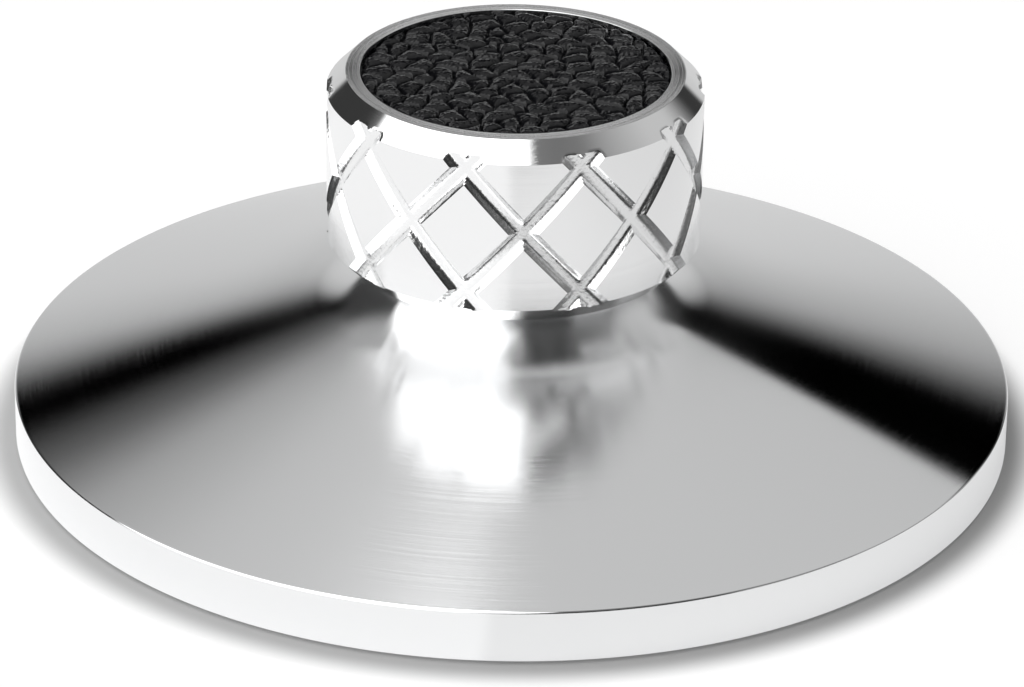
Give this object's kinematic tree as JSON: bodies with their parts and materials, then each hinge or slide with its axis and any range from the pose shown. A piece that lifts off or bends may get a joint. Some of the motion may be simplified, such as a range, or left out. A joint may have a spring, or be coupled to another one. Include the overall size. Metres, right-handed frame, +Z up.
{
  "type": "record clamp",
  "caption": "Turned aluminium record clamp: low dished skirt, hollow neck and a cross-milled finger knob with a leather disc on top, drawing up a split collet.",
  "frame": {"origin": "centre of the felt ring's underside, on the spindle's axis", "axes": "+Z up along the spindle, out of the knob's top; +X towards the key pin in the hub; -Y towards the picture's viewer"},
  "size_m": [0.08, 0.08, 0.031],
  "materials": {
    "skirt_aluminium": "fine turned, nearly polished",
    "knob_aluminium": "fine turned, with milled grooves",
    "black_leather": "pebbled grain, semi-matt",
    "black_plastic": "machined",
    "white_slip_plastic": "smooth",
    "key_steel": "ground",
    "grey_felt": "pressed felt"
  },
  "bodies": {
    "clamp_base": {"skirt": "skirt_aluminium", "felt_ring": "grey_felt", "key_pin": "key_steel", "thrust_washer": "white_slip_plastic"},
    "turning_knob": {"knob": "knob_aluminium", "leather_inlay": "black_leather"},
    "drawn_collet": {"collet": "black_plastic"}
  },
  "joints": [
    {"name": "knob_turn", "type": "hinge", "parent": "clamp_base", "child": "turning_knob", "pos_m": [0, 0, 0.0186], "axis": [0, 0, -1], "range_deg": [0, 360]},
    {"name": "collet_draw", "type": "slide", "parent": "clamp_base", "child": "drawn_collet", "axis": [0, 0, 1], "range_m": [0, 0.001]}
  ],
  "couplings": [
    {"joint": "collet_draw", "follows": "knob_turn", "m_per_rad": 0.00015915}
  ]
}
